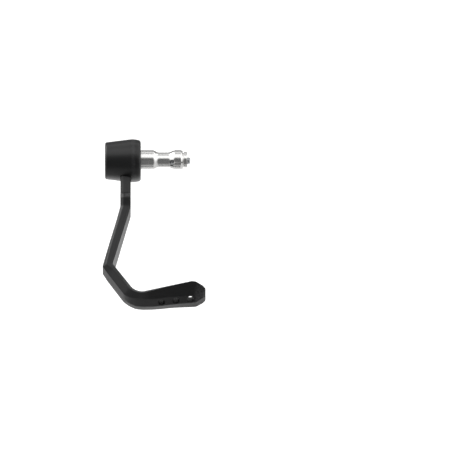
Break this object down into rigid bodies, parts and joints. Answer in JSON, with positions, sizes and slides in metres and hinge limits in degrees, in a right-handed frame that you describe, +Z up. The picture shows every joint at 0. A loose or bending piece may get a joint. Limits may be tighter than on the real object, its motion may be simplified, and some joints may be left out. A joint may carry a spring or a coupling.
{
  "type": "brake lever guard",
  "caption": "Handlebar-end lever guard: a black arm bends forward and inward to a flared, pierced blade, held by a weight, bolt and expanding sleeve.",
  "frame": {"origin": "on the handlebar axis, at the inner face of the bar-end weight, which butts against the handlebar's open end", "axes": "+X along the handlebar axis into the bar (towards the machine's centre), -Y forward along the arm's reach, +Z up"},
  "size_m": [0.0818, 0.1452, 0.035],
  "materials": {
    "arm_nylon": "fine moulded grain, satin",
    "weight_black": "black satin anodised",
    "bolt_steel": "zinc-plated steel",
    "washer_steel": "zinc-plated steel",
    "turned_aluminium": "bright turned"
  },
  "bodies": {
    "root": {"guard_arm": "arm_nylon", "bar_end_weight": "weight_black", "clamp_bolt": "bolt_steel", "bolt_washer": "washer_steel", "expander_sleeve": "turned_aluminium", "expander_cone": "turned_aluminium"}
  },
  "joints": []
}
